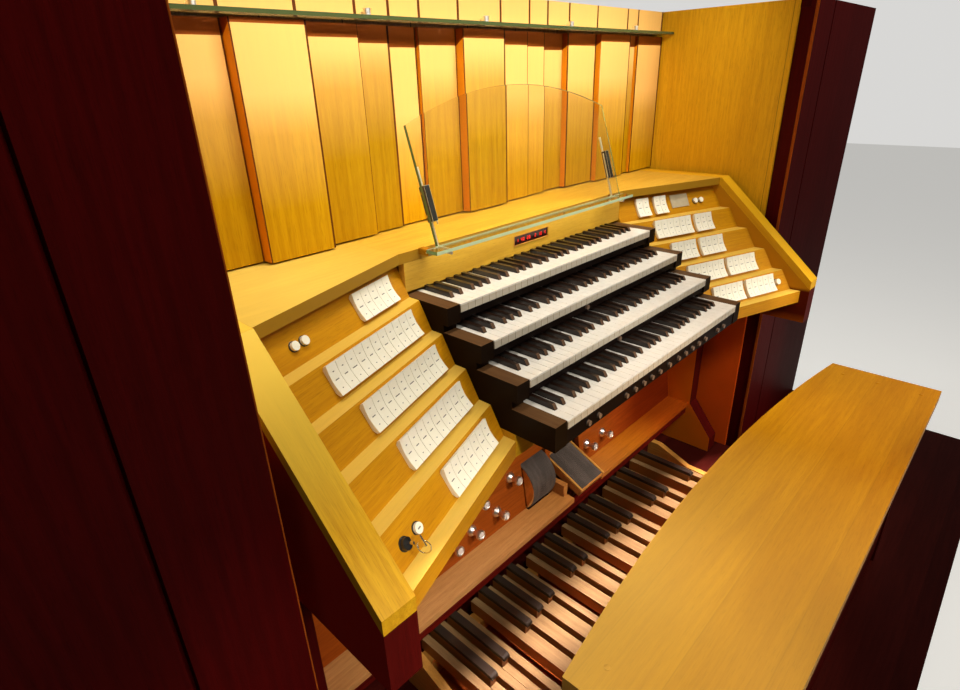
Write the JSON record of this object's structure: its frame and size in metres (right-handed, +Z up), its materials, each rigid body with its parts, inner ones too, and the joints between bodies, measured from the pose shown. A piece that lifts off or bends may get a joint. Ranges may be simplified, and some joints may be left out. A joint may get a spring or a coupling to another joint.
{
  "type": "pipe organ console",
  "caption": "Four-manual organ console in its oak-lined case niche, with stop-tab terraces, glass music desk, toe shelf, pedalboard and bench.",
  "frame": {"origin": "middle of the footprint, on the ground under the platform", "axes": "+X to the player's right along the manuals, +Y away from the player into the niche, +Z up"},
  "size_m": [3.4, 1.37, 1.76],
  "materials": {
    "platform_wood": "satin",
    "orange_oak": "satin",
    "case_mahogany": "satin",
    "oak": "satin",
    "wall_oak": "satin",
    "shelf_glass": "polished",
    "chrome": "polished",
    "window_dark": "gloss",
    "dark_wood": "satin",
    "ivory_tabs": "gloss",
    "plaque_grey": "satin",
    "ivory_keys": "gloss",
    "ebony": "satin",
    "wenge": "satin",
    "black_wood": "satin",
    "drum_rubber": "matte",
    "shoe_oak": "satin",
    "brass": "polished",
    "desk_glass": "polished",
    "pedal_oak": "satin"
  },
  "bodies": {
    "console": {"platform_deck": "platform_wood", "niche_floor": "orange_oak", "case_fronts": "case_mahogany", "case_ends": "case_mahogany", "case_back": "orange_oak", "niche_sides": "oak", "wall_boards": "wall_oak", "glass_shelf": "shelf_glass", "shelf_brackets": "chrome", "top_shelf": "oak", "music_rail": "oak", "digit_window": "window_dark", "terrace_left": "oak", "terrace_right": "oak", "side_walls": "dark_wood", "cheek_caps": "oak", "tabs_left": "ivory_tabs", "tabs_right": "ivory_tabs", "round_buttons": "ivory_tabs", "stop_plaque": "plaque_grey", "lock_barrel": "chrome", "naturals_one": "ivory_keys", "naturals_two": "ivory_keys", "naturals_three": "ivory_keys", "naturals_four": "ivory_keys", "sharps_one": "ebony", "sharps_two": "ebony", "sharps_three": "ebony", "sharps_four": "ebony", "key_cheeks": "wenge", "key_beds": "black_wood", "slip_pistons": "ivory_tabs", "keybed_board": "oak", "knee_panel": "orange_oak", "toe_shelf": "oak", "kick_board": "dark_wood", "toe_studs": "chrome", "pivot_blocks": "oak", "desk_pivots": "brass", "pedal_frame": "oak", "pedal_naturals": "pedal_oak", "pedal_sharps": "orange_oak", "pedal_caps": "ebony", "bench_top": "oak", "bench_frame": "dark_wood"},
    "crescendo_drum": {"crescendo_drum": "drum_rubber"},
    "swell_shoe": {"swell_shoe": "shoe_oak"},
    "music_desk": {"desk_rods": "chrome", "desk_glass": "desk_glass"},
    "lock_key": {"lock_key": "chrome"}
  },
  "joints": [
    {"name": "drum_turn", "type": "hinge", "parent": "console", "child": "crescendo_drum", "pos_m": [-0.018, 0.455, 0.325], "axis": [1, 0, 0], "continuous": true},
    {"name": "shoe_tilt", "type": "hinge", "parent": "console", "child": "swell_shoe", "pos_m": [0.15, 0.36, 0.218], "axis": [-1, 0, 0], "range_deg": [0, 25]},
    {"name": "desk_tilt", "type": "hinge", "parent": "console", "child": "music_desk", "pos_m": [-0.01, 0.412, 1.2], "axis": [1, 0, 0], "range_deg": [-12, 8]},
    {"name": "key_turn", "type": "hinge", "parent": "console", "child": "lock_key", "pos_m": [-0.84148, 0.02623, 0.87196], "axis": [0.2874, -0.8252, 0.4862], "range_deg": [0, 90]}
  ]
}
